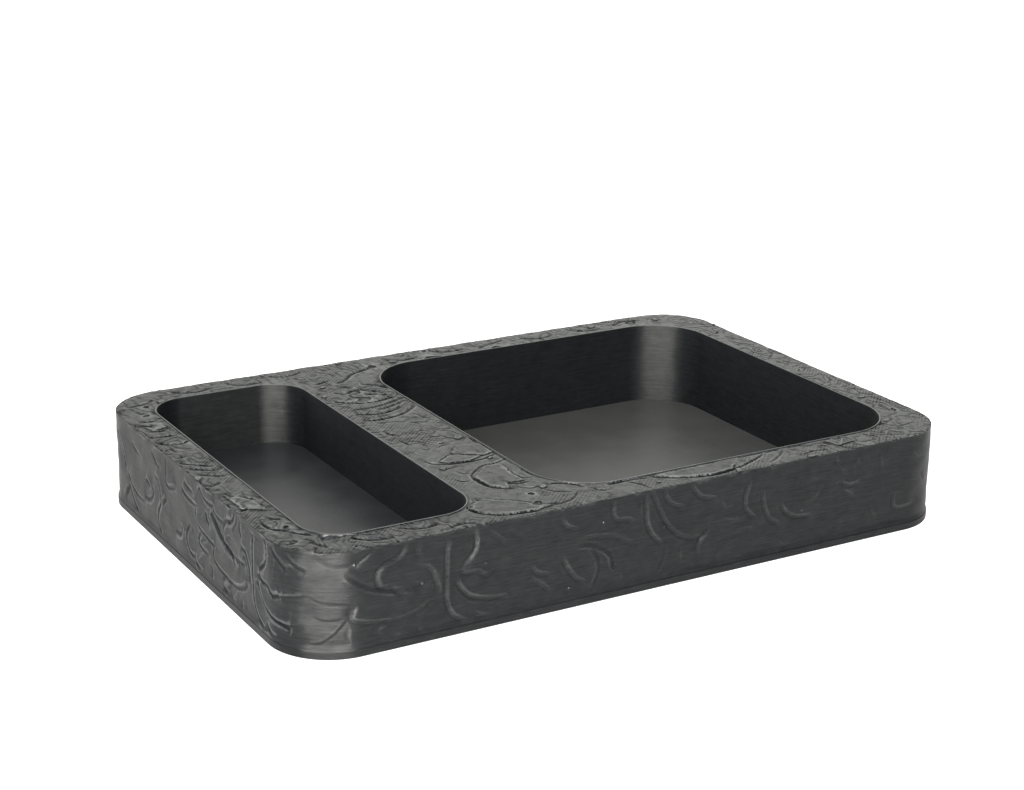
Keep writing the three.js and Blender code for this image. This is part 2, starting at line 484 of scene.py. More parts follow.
def stepProfile(gap):
    fade = np.where(gap > 0, carving["proudFade"], carving["lowFade"])
    step = carving["stepHeight"] * np.tanh(gap / carving["stepEdge"]) * np.exp(-np.abs(gap) / fade)
    ridge = carving["ridgeHeight"] * hump(gap - carving["ridgeOffset"], carving["ridgeWidth"])
    crease = carving["creaseDepth"] * hump(gap + carving["creaseOffset"], carving["creaseWidth"])
    return step + ridge - crease


def markProfile(gap):
    fade = np.exp(-np.abs(gap) / carving["lowFade"])
    step = carving["markStep"] * np.tanh(gap / carving["stepEdge"]) * fade
    return step - carving["creaseDepth"] * hump(gap, carving["creaseWidth"])


def grooveProfile(gap):
    cut = -carving["grooveDepth"] * hump(gap, carving["grooveWidth"])
    return cut + carving["grooveLip"] * np.tanh(gap) * hump(gap, carving["plateauWidth"])


def strandProfile(gap):
    return -carving["strandDepth"] * hump(gap, carving["strandWidth"])


def strokesOf(rows):
    return [(strength, np.reshape(numbers, (-1, 2))) for strength, *numbers in rows]


def moved(strokes, along):
    return [(strength, points + (along, 0.0)) for strength, points in strokes]


def scaled(strokes, factor):
    return [(strength * factor, points) for strength, points in strokes]


def softLimit(height):
    most = np.where(height > 0, carving["mostProud"], carving["mostDeep"])
    return most * np.tanh(height / most)


def wallRelief(s, z, perimeter):
    # the carving of the front and left walls comes again, half way round, on the back and right walls
    leftStrokes = moved(strokesOf(cornerScrolls), wallRepeat) + strokesOf(leftScrolls)
    strokes = scaled(strokesOf(cornerScrolls + frontScrolls), carving["frontDepth"])
    strokes += scaled(leftStrokes, carving["leftDepth"])
    marks = strokesOf(cornerMarks)
    half = perimeter / 2
    s = (s + perimeter / 4) % half
    join = smoothStep(half - carving["seamBlend"], half, s)

    def closedWaves(kind, number):
        # blends into its own start, so that the noise has no seam
        settings = (*carving[kind], carving["seed"] + number)
        return waves(s, z, *settings) * (1 - join) + waves(s - half, z, *settings) * join

    wobble = carving["wobble"]
    z2 = z + wobble / 2 * closedWaves("wobbleWaves", 0)
    s2 = s + wobble * closedWaves("wobbleWaves", 1)
    height = np.zeros_like(s)
    for turn in (-1, 0, 1):
        along = perimeter / 4 + turn * half
        height += strokeShape(s2, z2, moved(strokes, along), stepProfile)
        height += strokeShape(s2, z2, moved(marks, along), markProfile)
    height += carving["swell"] * closedWaves("swellWaves", 2)
    height = softLimit(height)
    for beadS, beadZ in wallBeads:
        gap = np.hypot((s - beadS - perimeter / 4 + half / 2) % half - half / 2, z - beadZ)
        height += carving["beadHeight"] * hump(gap, carving["beadWidth"])
    return np.minimum(height, carving["mostProud"])


def inside(x, y, corners):
    # which of the points lie inside the closed outline
    within = np.zeros(x.shape, bool)
    for (ax, ay), (bx, by) in zip(corners, corners[1:] + corners[:1]):
        if ay != by:
            crosses = (ay > y) != (by > y)
            within ^= crosses & (x < ax + (y - ay) * (bx - ax) / (by - ay))
    return within


def rimRelief(x, y):
    # the heights that fall on print layers, and the grooves that are cut into them
    sharp = strokesOf(dividerGrooves + frontRimGrooves + lipGrooves)
    soft = strokesOf(dividerStrands + leftRimGrooves + backRimGrooves)
    wobble, seed = carving["rimWobble"], carving["seed"]
    x2 = x + wobble * waves(x, y, *carving["wobbleWaves"], seed + 3)
    y2 = y + wobble * waves(x, y, *carving["wobbleWaves"], seed + 4)
    layered = carving["rimSwell"] * waves(x2, y2, *carving["rimSwellWaves"], seed + 5)
    for corners in plateaus:
        layered += np.where(inside(x2, y2, corners), carving["plateauRise"], 0.0)
    grooves = strokeShape(x2, y2, sharp, grooveProfile) + strokeShape(x2, y2, soft, strandProfile)
    return layered, grooves


# One closed mesh: underside, band, carved walls, rim, lips, wells and their floors

class Shell:
    def __init__(self):
        self.parts, self.faces, self.relief, self.groove, self.outward = [], [], [], [], []
        self.count = 0

    def addPoints(self, points, relief=0.0, outward=(0.0, 0.0, 0.0), groove=0.0):
        first = self.count
        self.parts.append(np.asarray(points, float))
        self.relief.append(np.broadcast_to(relief, len(points)).astype(float))
        self.groove.append(np.broadcast_to(groove, len(points)).astype(float))
        self.outward.append(np.broadcast_to(outward, (len(points), 3)).astype(float))
        self.count += len(points)
        return np.arange(first, self.count)

    def addBand(self, lower, upper):
        # quads between two loops of as many points; both run anticlockwise, seen from above
        self.faces += np.stack([lower, np.roll(lower, -1), np.roll(upper, -1), upper], 1).tolist()


def nearestPlace(points, line, block=4000):
    # for each point, the number of the nearest point of the outline
    nearest = np.empty(len(points), int)
    for first in range(0, len(points), block):
        some = points[first:first + block]
        gap = (some[:, None, 0] - line[None, :, 0]) ** 2 + (some[:, None, 1] - line[None, :, 1]) ** 2
        nearest[first:first + block] = gap.argmin(1)
    return nearest


def buildWalls(shell, line, normal, place, perimeter, lastRow):
    # underside, base band and carved walls; returns the walls' last row
    sideways = np.column_stack([normal, np.zeros(len(line))])

    def ring(z, inset, relief=0.0):
        points = np.column_stack([line - normal * inset, np.full(len(line), z)])
        return shell.addPoints(points, relief, sideways)

    rounding, bandTop = tray["edgeRounding"], tray["bandHeight"]
    loops = [ring(0.0, 2 * rounding), ring(rounding, 0.0), ring(bandTop - rounding / 2, 0.0)]
    firstRow = bandTop + rounding
    rows = np.linspace(firstRow, lastRow, round((lastRow - firstRow) / fineness["rowStep"]))
    grid = np.meshgrid(place, rows)
    relief = wallRelief(grid[0].ravel(), grid[1].ravel(), perimeter).reshape(grid[0].shape)
    carved = smoothStep(bandTop, bandTop + carving["wallFade"], rows)
    for z, height, share in zip(rows, relief, carved):
        inset = tray["bandStep"] + (tray["wallSetBack"] - tray["bandStep"]) * share
        loops.append(ring(z, inset, height * share))
    for lower, upper in zip(loops, loops[1:]):
        shell.addBand(lower, upper)
    shell.faces.append(loops[0][::-1].tolist())
    return loops[-1]


def rimTriangles(outer, rimEdge, lipFeet, edgeInset):
    # the outline and the lips' feet are fixed lines, with a staggered grid of points between them
    step, lip = fineness["rimStep"], tray["lipWidth"]
    rowStep, clear = step * fineness["rimRowShare"], step * fineness["rimClearShare"]
    gridX, gridY = np.meshgrid(np.arange(-tray["length"] / 2, tray["length"] / 2, step),
                               np.arange(-tray["width"] / 2, tray["width"] / 2, rowStep))
    gridX = gridX + step / 2 * (np.arange(gridX.shape[0]) % 2)[:, None]

    def onRim(x, y, margin):
        keep = distanceTo(outer, x, y) < -edgeInset - margin
        for well in wells:
            keep &= distanceTo(well, x, y) > lip + margin
        return keep

    gridX, gridY = gridX.ravel(), gridY.ravel()
    keep = onRim(gridX, gridY, clear)
    lines = [rimEdge, lipFeet[0][0], lipFeet[1][0]]
    flat = np.vstack([*lines, np.column_stack([gridX[keep], gridY[keep]])])
    starts = np.cumsum([0, *[len(line) for line in lines]])
    edges = []
    for first, size in zip(starts[:3], np.diff(starts)):
        loop = np.arange(size)
        edges += (first + np.column_stack([loop, np.roll(loop, -1)])).tolist()
    made = delaunay_2d_cdt([Vector(p) for p in flat.tolist()], edges, [], 0, 1e-7, False)
    if len(made[0]) != len(flat):
        raise RuntimeError("the rim's points were merged")
    triangles = np.array(made[2])
    middle = flat[triangles].mean(1)
    triangles = triangles[onRim(middle[:, 0], middle[:, 1], -fineness["rimSlack"])]
    a, b, c = flat[triangles[:, 0]], flat[triangles[:, 1]], flat[triangles[:, 2]]
    turn = (b[:, 0] - a[:, 0]) * (c[:, 1] - a[:, 1]) - (b[:, 1] - a[:, 1]) * (c[:, 0] - a[:, 0])
    triangles[turn < 0] = triangles[turn < 0][:, ::-1]
    return flat, starts, triangles


def buildShell():
    shell = Shell()
    rimZ = tray["height"] - tray["rimDrop"]
    outer = {"length": tray["length"], "width": tray["width"], "cornerRadius": tray["cornerRadius"]}
    line, normal, place, perimeter = roundedOutline(outer, fineness["outlineStep"])
    count = len(line)
    # places are counted from the middle of the front left corner, as the strokes are
    place = place + math.pi * tray["cornerRadius"] / 4
    lastRow = rimZ - tray["edgeRounding"]
    lastLoop = buildWalls(shell, line, normal, place, perimeter, lastRow)

    # Rim
    lip = tray["lipWidth"]
    edgeInset = tray["wallSetBack"] + tray["edgeRounding"]
    rimEdge = line - normal * edgeInset
    lipFeet = []
    for well in wells:
        grown = dict(well, length=well["length"] + 2 * lip, width=well["width"] + 2 * lip,
                     cornerRadius=well["cornerRadius"] + lip)
        lipFeet.append(roundedOutline(grown, fineness["rimStep"])[:2])
    flat, starts, triangles = rimTriangles(outer, rimEdge, lipFeet, edgeInset)
    x, y = flat[:, 0], flat[:, 1]
    relief, groove = rimRelief(x, y)
    wallTop = wallRelief(place, np.full(count, lastRow), perimeter)
    edgeGap = np.maximum(-edgeInset - distanceTo(outer, x, y), 0)
    notch = np.minimum(carving["notchShare"] * wallTop[nearestPlace(flat, rimEdge)], 0)
    groove += notch * np.exp(-edgeGap / carving["notchReach"])
    nick = waves(x, y, *carving["nickWaves"], carving["seed"] + 6) - carving["nickFrom"]
    groove -= carving["nickDepth"] * np.maximum(nick, 0) * np.exp(-edgeGap / carving["nickReach"])
    fade = np.ones(len(flat))
    for well in wells:
        fade *= smoothStep(lip, lip + carving["lipFade"], distanceTo(well, x, y))
    relief = np.minimum(relief * fade, carving["rimProud"])
    groove = np.clip(groove * fade, -carving["grooveDeepest"], carving["grooveProud"])
    # the rim's outline moves sideways with the wall's last row
    raised = np.column_stack([flat, np.full(len(flat), rimZ)])
    raised[:count, :2] += normal * wallTop[:, None]
    numbers = shell.addPoints(raised, relief, (0.0, 0.0, 1.0), groove)
    shell.faces += numbers[triangles].tolist()
    shell.addBand(lastLoop, numbers[:count])

    # Lips and wells
    for k, well in enumerate(wells):
        last = numbers[starts[k + 1]:starts[k + 2]]
        base, outline = lipFeet[k]
        wallRows = np.linspace(tray["height"] - tray["lipHeight"], well["floorZ"], fineness["wellRows"])
        profile = [(inset, tray["height"] - drop) for inset, drop in lipProfile]
        for inset, z in profile + [(lip, z) for z in wallRows]:
            # both loops run anticlockwise about the well, and here the solid lies outside them
            loop = shell.addPoints(np.column_stack([base - outline * inset, np.full(len(base), z)]))
            shell.addBand(last, loop)
            last = loop
        shell.faces.append(last.tolist())
    return shell


# Node trees

class NodeBuilder:
    def __init__(self, tree):
        self.nodes, self.links = tree.nodes, tree.links

    def add(self, kind, inputs=None, **settings):
        node = self.nodes.new(kind)
        for name, value in settings.items():
            setattr(node, name, value)
        for name, value in (inputs or {}).items():
            socket = node.inputs[name]
            if isinstance(value, bpy.types.NodeSocket):
                self.links.new(value, socket)
            else:
                socket.default_value = value
        return node

    def maths(self, operation, *values):
        return self.add("ShaderNodeMath", dict(enumerate(values)), operation=operation).outputs[0]

    def chained(self, operation, values):
        result = values[0]
        for value in values[1:]:
            result = self.maths(operation, result, value)
        return result

    def times(self, *values):
        return self.chained("MULTIPLY", values)

    def plus(self, *values):
        return self.chained("ADD", values)

    def minus(self, first, second):
        return self.maths("SUBTRACT", first, second)

    def vector(self, operation, inputs):
        return self.add("ShaderNodeVectorMath", inputs, operation=operation).outputs

    def joined(self, x=0.0, y=0.0, z=0.0):
        return self.add("ShaderNodeCombineXYZ", {0: x, 1: y, 2: z}).outputs[0]

    def separated(self, vector):
        return self.add("ShaderNodeSeparateXYZ", {0: vector}).outputs

    def noise(self, vector, scale=1.0, detail=2.0):
        # noise of one scale, or of one scale for each axis
        if isinstance(scale, tuple):
            vector = self.add("ShaderNodeMapping", {"Vector": vector, "Scale": scale}).outputs[0]
            scale = 1.0
        return self.add("ShaderNodeTexNoise", {"Vector": vector, "Scale": scale, "Detail": detail,
                                               "Roughness": 0.55}).outputs["Fac"]

    def ranged(self, value, fromMin, fromMax, toMin=0.0, toMax=1.0):
        return self.add("ShaderNodeMapRange", {"Value": value, "From Min": fromMin, "From Max": fromMax,
                                               "To Min": toMin, "To Max": toMax}).outputs[0]

    def around(self, noise, depth):
        # a noise, most of which lies from 0.3 to 0.7, as a change of this much either way
        return self.ranged(noise, 0.3, 0.7, -depth, depth)

    def mixed(self, share, first, second):
        return self.add("ShaderNodeMix", {0: share, 2: first, 3: second}).outputs[0]

    def mixedVectors(self, share, first, second):
        return self.add("ShaderNodeMix", {0: share, 4: first, 5: second}, data_type="VECTOR").outputs[1]


def emptyNodes(owner):
    owner.use_nodes = True
    owner.node_tree.nodes.clear()
    return NodeBuilder(owner.node_tree)


def reliefTree(material):
    # moves each point along its own outward direction by its carved height, on the rim in whole print layers
    tree = bpy.data.node_groups.new("trayCarving", "GeometryNodeTree")
    face = tree.interface
    face.new_socket("Geometry", in_out="INPUT", socket_type="NodeSocketGeometry")
    for name, value in (("Carving Depth", 1.0), ("Layer Height", plastic["layerHeight"]), ("Terracing", 0.7)):
        socket = face.new_socket(name, in_out="INPUT", socket_type="NodeSocketFloat")
        socket.default_value = value
    face.new_socket("Geometry", in_out="OUTPUT", socket_type="NodeSocketGeometry")
    build = NodeBuilder(tree)
    source = build.add("NodeGroupInput").outputs

    def attribute(name, kind):
        node = build.add("GeometryNodeInputNamedAttribute", {"Name": name}, data_type=kind)
        return node.outputs["Attribute"]

    height = attribute("carvedHeight", "FLOAT")
    outward = attribute("outward", "FLOAT_VECTOR")
    upward = build.separated(outward)["Z"]
    halfLayer = build.times(source["Layer Height"], 0.5)
    snapped = build.maths("SNAP", build.plus(height, halfLayer), source["Layer Height"])
    change = build.times(build.minus(snapped, height), build.times(source["Terracing"], upward))
    cut = build.plus(height, change, attribute("groove", "FLOAT"))
    amount = build.times(cut, source["Carving Depth"])
    shift = build.vector("SCALE", {0: outward, "Scale": amount})[0]
    shape = build.add("GeometryNodeSetPosition", {"Geometry": source["Geometry"], "Offset": shift}).outputs[0]
    # for the material: how far a point lies below its surroundings, which it paints as shade in creases and
    # as a highlight on ridges, and whether it belongs to the rim
    blurred = build.add("GeometryNodeBlurAttribute", {0: amount, "Iterations": 4}).outputs[0]
    for name, value in (("crease", build.minus(blurred, amount)), ("onRim", upward)):
        shape = build.add("GeometryNodeStoreNamedAttribute",
                          {"Geometry": shape, "Name": name, "Value": value}).outputs[0]
    shape = build.add("GeometryNodeRealizeInstances", {0: shape}).outputs[0]
    shape = build.add("GeometryNodeSetMaterial", {"Geometry": shape, "Material": material}).outputs[0]
    build.add("NodeGroupOutput", {0: shape})
    return tree


def buildTray(material):
    shell = buildShell()
    points = np.vstack(shell.parts)
    mesh = bpy.data.meshes.new("trayShell")
    mesh.from_pydata((points * mm).tolist(), [], shell.faces)
    carved = {
        "carvedHeight": ("FLOAT", "value", np.concatenate(shell.relief) * mm),
        "groove": ("FLOAT", "value", np.concatenate(shell.groove) * mm),
        "outward": ("FLOAT_VECTOR", "vector", np.vstack(shell.outward).ravel()),
    }
    for name, (kind, field, values) in carved.items():
        mesh.attributes.new(name, kind, "POINT").data.foreach_set(field, values)
    rough = bpy.data.objects.new("trayShell", mesh)
    scene.collection.objects.link(rough)
    carve = rough.modifiers.new("carve", "NODES")
    carve.node_group = reliefTree(material)
    for item in carve.node_group.interface.items_tree:
        if item.item_type == "SOCKET" and item.in_out == "INPUT" and item.name == "Terracing":
            carve[item.identifier] = 1.0
    triangulate = rough.modifiers.new("triangulate", "TRIANGULATE")
    triangulate.keep_custom_normals = False
    # the base band's few long faces stay as they are, so that its edges stay sharp
    aboveBand = rough.vertex_groups.new(name="aboveBand")
    aboveBand.add(np.flatnonzero(points[:, 2] > tray["bandHeight"]).tolist(), 1.0, "REPLACE")
    thin = rough.modifiers.new("thin", "DECIMATE")
    thin.vertex_group = aboveBand.name
    total = sum(len(face) - 2 for face in shell.faces)
    thin.ratio = min(1.0, fineness["mostTriangles"] / total)
    evaluated = rough.evaluated_get(bpy.context.evaluated_depsgraph_get())
    finished = bpy.data.meshes.new_from_object(evaluated)
    finished.name = "printedTray"
    bpy.data.objects.remove(rough)
    for name in carved:
        if name in finished.attributes:
            finished.attributes.remove(finished.attributes[name])
    finished.shade_smooth()
    finished.set_sharp_from_angle(angle=math.radians(fineness["sharpAngle"]))
    piece = bpy.data.objects.new("printedTray", finished)
    piece.vertex_groups.clear()
    scene.collection.objects.link(piece)
    print("tray:", len(finished.vertices), "points,", len(finished.polygons), "faces")
    return piece


# Satin black plastic with print layers on the walls and diagonal lines on the flat faces

plastic = {
    "colour": (0.0040, 0.0044, 0.0052),
    "wallRoughness": 0.37,
    "wellRoughness": 0.45,
    "rimRoughness": 0.40,
    "floorRoughness": 0.36,
    "stepRoughness": 0.5,
    "roughnessChange": 0.02,     # each varies this much either way
    "floorPaintedLight": (0.0150, 0.0150, 0.0138),   # painted light: what the large well's floor scatters besides
    "outerLevel": 0.88,          # painted shade: how much the outer walls reflect, as a share of the rest
    "wellLevel": 0.57,           # and the wells' walls, with more painted shade
    "stepLevel": 0.75,           # and the small faces between the rim's plateaus, painted shade too
    # the lips get a painted highlight and the floors painted light
    "lipLevel": 1.75,
    "floorLevel": 1.12,
    "wallContrast": 1.3,         # powers that even out how much a level shows at each view angle
    "flatContrast": 2.4,
    "anisotropy": 0.8,
    "floorAnisotropy": 0.3,
    "facingUp": (0.72, 0.86),    # a face counts as flat from this slope of its normal on
    "layerHeight": 0.2 * mm,
    "layerBump": 0.03 * mm,
    "ridgeShare": 0.4,           # of even ridges in it, beside noise
    "linePitch": 0.86 * mm,
    "lineBump": 0.016 * mm,
    "lineShare": 0.6,            # of even lines in it, and of noise
    "lineNoiseShare": 0.8,
    "grainBump": 0.004 * mm,
    "streaks": (                 # on the walls: scale of each noise, its detail and how much it changes
        ((110, 110, 1900), 3.0, 0.1),
        ((300, 300, 5200), 2.0, 0.13),
        ((9, 9, 2300), 2.0, 0.03),
    ),
    "lineNoiseScale": (1160.0, 120.0),       # across and along the lines
    "patchScale": (100, 60, 100),            # the lines show in patches
    "pitScale": (620, 400, 400),             # painted shade of small pits where a line broke off
    "terraceScale": (150, 105, 120),         # fine lines end the rim's terraces
    "crowdScale": 75.0,
    "patchEdge": (0.46, 0.58),   # where in its noise a patch, a pit and a crowd of lines begins
    "pitEdge": (0.57, 0.64),
    "crowdEdge": (0.36, 0.48),
    "leastCrowd": 0.3,
    "calmX": (42 * mm, 50 * mm),             # those lines are sparse within these distances,
    "calmY": (-12 * mm, -4 * mm),            # in front of these places
    "calmShare": 0.75,
    "blotchScale": 110.0,
    "mottleScale": 420.0,
    "grainScale": 1500.0,
    "wallMottle": 0.07,          # how much each of these changes what is reflected
    "rimMottle": 0.16,
    "rimLines": 0.1,
    "blotches": 0.04,
    # painted shade in the gaps between the flat faces' lines and in the pits
    "gapShade": 0.4,
    "pitShade": 0.22,
    "crease": (0.012 * mm, 0.08 * mm),       # painted shade: how deep a crease must be to darken, and to be darkest
    "creaseShade": 0.45,
    "ridge": (-0.008 * mm, -0.032 * mm),     # and the same for a ridge, which gets a painted highlight
    "ridgeShine": 0.5,
    "endShine": 1.3,             # the painted highlight is stronger on the left and right walls, which start in this share of the bend
    "endBend": (0.6, 0.85),
    "ridgeShineChange": 0.7,            # how unevenly the ridges' painted highlight shows
    "shineChangeEdge": (0.36, 0.64),
    "contourStep": 0.062,        # the terraces' fine lines, as steps of a noise
    "contourLine": (0.004, 0.042),           # half its width in that noise, full and faded out
    "contourBump": 0.1 * mm,
    # painted shade along the terraces' fine lines
    "contourShade": 0.36,
    "footLevel": 0.7,            # painted shade: the outer corners reflect less near the table
    "foot": (0.5 * mm, 9 * mm),
    "bandShade": 0.2,            # painted shade: dark line between the base band and the carving
    "bandShadeLine": (0.08 * mm, 0.26 * mm),      # half its width, dark and faded out
    "floorTop": 10.0 * mm,       # the wells' floors and the underside lie below this height
    "litFloorTop": 3.0 * mm,       # and the large well's floor, with painted light, below this one
    "wellEnds": (87.0 * mm, 56.0 * mm),      # the wells' walls lie within these
    "lipFrom": 0.05 * mm,        # the lips lie this far above the rim's plane,
    "lipMostRim": 0.3,           # where the attribute onRim, 1 on the rim, is below this
}


def printedPlastic():
    material = bpy.data.materials.new("printedPlastic")
    build = emptyNodes(material)
    maths, times, plus, minus = build.maths, build.times, build.plus, build.minus
    ranged, around, mixed = build.ranged, build.around, build.mixed
    place = build.add("ShaderNodeTexCoord").outputs["Object"]
    x, y, z = build.separated(place)

    def size(value):
        return maths("ABSOLUTE", value)

    # Where on the tray a point lies
    facing = build.add("ShaderNodeNewGeometry").outputs["True Normal"]
    upward = ranged(size(build.separated(facing)["Z"]), *plastic["facingUp"])
    sideways = minus(1.0, upward)
    onFloor = times(maths("LESS_THAN", z, plastic["floorTop"]), upward)
    rimPlane = (tray["height"] - tray["rimDrop"]) * mm
    rimShare = build.add("ShaderNodeAttribute", attribute_name="onRim").outputs["Fac"]
    aboveRim = maths("GREATER_THAN", z, rimPlane + plastic["lipFrom"])
    onLip = times(aboveRim, maths("LESS_THAN", rimShare, plastic["lipMostRim"]))
    onStep = times(rimShare, sideways)
    onPlateau = times(rimShare, upward)
    within = [maths("LESS_THAN", size(way), end) for way, end in zip((x, y), plastic["wellEnds"])]
    inWell = times(*within, sideways)
    # 1 in the middle of an outer corner's bend and 0 where the bend ends
    bend = tray["cornerRadius"] * mm
    bendX = maths("MAXIMUM", minus(size(x), tray["length"] / 2 * mm - bend), 0.0)
    bendY = maths("MAXIMUM", minus(size(y), tray["width"] / 2 * mm - bend), 0.0)
    corner = maths("MINIMUM", times(bendX, bendY, 2.0 / bend ** 2), 1.0)
    corner = times(corner, minus(1.0, inWell))
    onEnds = times(ranged(bendX, *[share * bend for share in plastic["endBend"]]), sideways)

    # Walls: one low ridge for each layer, uneven from layer to layer and along its length
    ridge = size(maths("SINE", times(z, math.pi / plastic["layerHeight"])))
    streaks = [build.noise(place, scale, detail) for scale, detail, _ in plastic["streaks"]]
    layers = plus(times(ridge, plastic["ridgeShare"]), streaks[0])
    layers = times(layers, sideways, plastic["layerBump"])

    # Flat faces: the top layer's lines run along one diagonal, and along the other on the next layer down
    step = maths("DIVIDE", minus(z, rimPlane), 2 * plastic["layerHeight"])
    # the change lies halfway between two layers, and the wells' floors take the other diagonal
    phase = plus(step, 0.25, times(onFloor, 0.5))
    inTurn = maths("GREATER_THAN", maths("FRACT", phase), 0.5)
    turned = times(inTurn, minus(1.0, onLip))
    sign = maths("MULTIPLY_ADD", turned, 2.0, -1.0)
    across = times(plus(x, times(y, sign)), math.sqrt(0.5))
    along = times(minus(x, times(y, sign)), math.sqrt(0.5))
    line = maths("SINE", times(across, 2 * math.pi / plastic["linePitch"]))
    noiseAcross, noiseAlong = plastic["lineNoiseScale"]
    lineNoise = build.noise(build.joined(times(across, noiseAcross), times(along, noiseAlong)))
    patch = ranged(build.noise(place, plastic["patchScale"]), *plastic["patchEdge"])
    hatch = plus(times(line, plastic["lineShare"], patch), times(lineNoise, plastic["lineNoiseShare"]))
    hatch = times(hatch, upward, plastic["lineBump"])

    # Pits, the terraces' fine lines and fine grain
    pit = times(ranged(build.noise(place, plastic["pitScale"]), *plastic["pitEdge"]), onPlateau)
    terraces = build.noise(place, plastic["terraceScale"], detail=1.2)
    calm = times(ranged(size(x), *plastic["calmX"], 1.0, 0.0), ranged(y, *plastic["calmY"], 1.0, 0.0))
    crowds = build.noise(place, plastic["crowdScale"], detail=1.0)
    crowded = ranged(crowds, *plastic["crowdEdge"], plastic["leastCrowd"], 1.0)
    crowded = times(crowded, maths("MULTIPLY_ADD", calm, -plastic["calmShare"], 1.0))
    contour = maths("PINGPONG", terraces, plastic["contourStep"])
    contour = ranged(contour, *plastic["contourLine"], 1.0, 0.0)
    contour = times(contour, crowded, onPlateau)
    grain = build.noise(place, plastic["grainScale"])
    height = plus(layers, hatch, times(grain, plastic["grainBump"]))
    height = minus(height, times(contour, plastic["contourBump"]))
    bump = build.add("ShaderNodeBump", {"Height": height, "Distance": 1.0, "Strength": 1.0})

    # Gaps between layers and lines, streaks, creases and blotches take up some of the reflection; the gaps,
    # pits, the terraces' fine lines and creases are painted shade, and the ridges get a painted highlight
    blotch = build.noise(place, plastic["blotchScale"], detail=4.0)
    mottle = build.noise(place, plastic["mottleScale"], detail=4.0)
    gap = times(maths("POWER", maths("MAXIMUM", line, 0.0), 2.0), patch, onPlateau)
    crease = build.add("ShaderNodeAttribute", attribute_name="crease").outputs["Fac"]
    # painted shade in creases
    inCrease = ranged(crease, *plastic["crease"], 0.0, plastic["creaseShade"])
    # painted highlight along ridges, stronger on the left and right walls and uneven along them
    shineChange = plastic["ridgeShineChange"]
    ridgeHighlight = times(ranged(crease, *plastic["ridge"]),
                    mixed(onEnds, plastic["ridgeShine"], plastic["endShine"]),
                    ranged(blotch, *plastic["shineChangeEdge"], 1.0 - shineChange, 1.0 + shineChange))
    changes = [around(noise, depth) for noise, (_, _, depth) in zip(streaks, plastic["streaks"])]
    onWall = times(sideways, plus(*changes, around(mottle, plastic["wallMottle"])))
    uneven = plus(around(lineNoise, plastic["rimLines"]), around(mottle, plastic["rimMottle"]))
    level = plus(around(blotch, plastic["blotches"]), 1.0, onWall, ridgeHighlight, times(onPlateau, uneven))
    for shade, where in (("gapShade", gap), ("pitShade", pit), ("contourShade", contour)):
        level = minus(level, times(where, plastic[shade]))
    # painted shade: the outer corners darker towards the table
    paintedFootShade = times(corner, ranged(z, *plastic["foot"], 1.0 - plastic["footLevel"], 0.0))
    # painted shade: a dark line round the walls just above the base band
    bandGap = size(minus(z, (tray["bandHeight"] + tray["darkLine"]) * mm))
    bandShadeLine = times(ranged(bandGap, *plastic["bandShadeLine"], plastic["bandShade"], 0.0), sideways)
    for shade in (inCrease, paintedFootShade, bandShadeLine):
        level = times(level, minus(1.0, shade))
    # painted shade on the outer walls, more on the wells' walls and on the rim's small step faces; a painted
    # highlight on the lips and painted light on the floors
    wallLevel = mixed(inWell, plastic["outerLevel"], plastic["wellLevel"])
    level = times(level, mixed(upward, wallLevel, 1.0))
    for share, name in ((onStep, "stepLevel"), (onLip, "lipLevel"), (onFloor, "floorLevel")):
        level = times(level, mixed(share, 1.0, plastic[name]))
    dark = build.vector("SCALE", {0: plastic["colour"], "Scale": level})[0]
    # painted light on the large well's floor
    paintedFloorLight = times(onFloor, maths("LESS_THAN", z, plastic["litFloorTop"]))
    floorLightColour = build.vector("SCALE", {0: plastic["floorPaintedLight"], "Scale": paintedFloorLight})[0]
    colour = build.vector("ADD", {0: dark, 1: floorLightColour})[0]

    contrast = mixed(upward, plastic["wallContrast"], plastic["flatContrast"])
    shine = times(maths("POWER", maths("MAXIMUM", level, 0.0), contrast), 0.5)
    roughness = mixed(inWell, plastic["wallRoughness"], plastic["wellRoughness"])
    for share, name in ((onStep, "stepRoughness"), (upward, "rimRoughness"), (onFloor, "floorRoughness")):
        roughness = mixed(share, roughness, plastic[name])
    roughness = plus(roughness, around(blotch, plastic["roughnessChange"]))
    anisotropy = times(minus(1.0, times(turned, upward)), plastic["anisotropy"])
    anisotropy = mixed(onFloor, anisotropy, plastic["floorAnisotropy"])

    # The layers spread a highlight up and down the walls, and the lines spread it across themselves
    crossing = build.joined(math.sqrt(0.5), times(sign, math.sqrt(0.5)))
    upright = build.joined(z=1.0)
    shader = build.add("ShaderNodeBsdfPrincipled", {
        "Base Color": colour,
        "Roughness": roughness,
        "IOR": 1.5,
        "Specular IOR Level": shine,
        "Anisotropic": anisotropy,
        "Tangent": build.mixedVectors(upward, upright, crossing),
        "Normal": bump.outputs[0],
    })
    build.add("ShaderNodeOutputMaterial", {"Surface": shader.outputs[0]})
    return material


# White paper; the camera sees a little more than its diffuse light, so that it reads as pure white

paper = {
    "albedo": 0.29,
    "glow": 0.9,
    "halfWidth": 3.0,
    "drop": 0.0002,
}


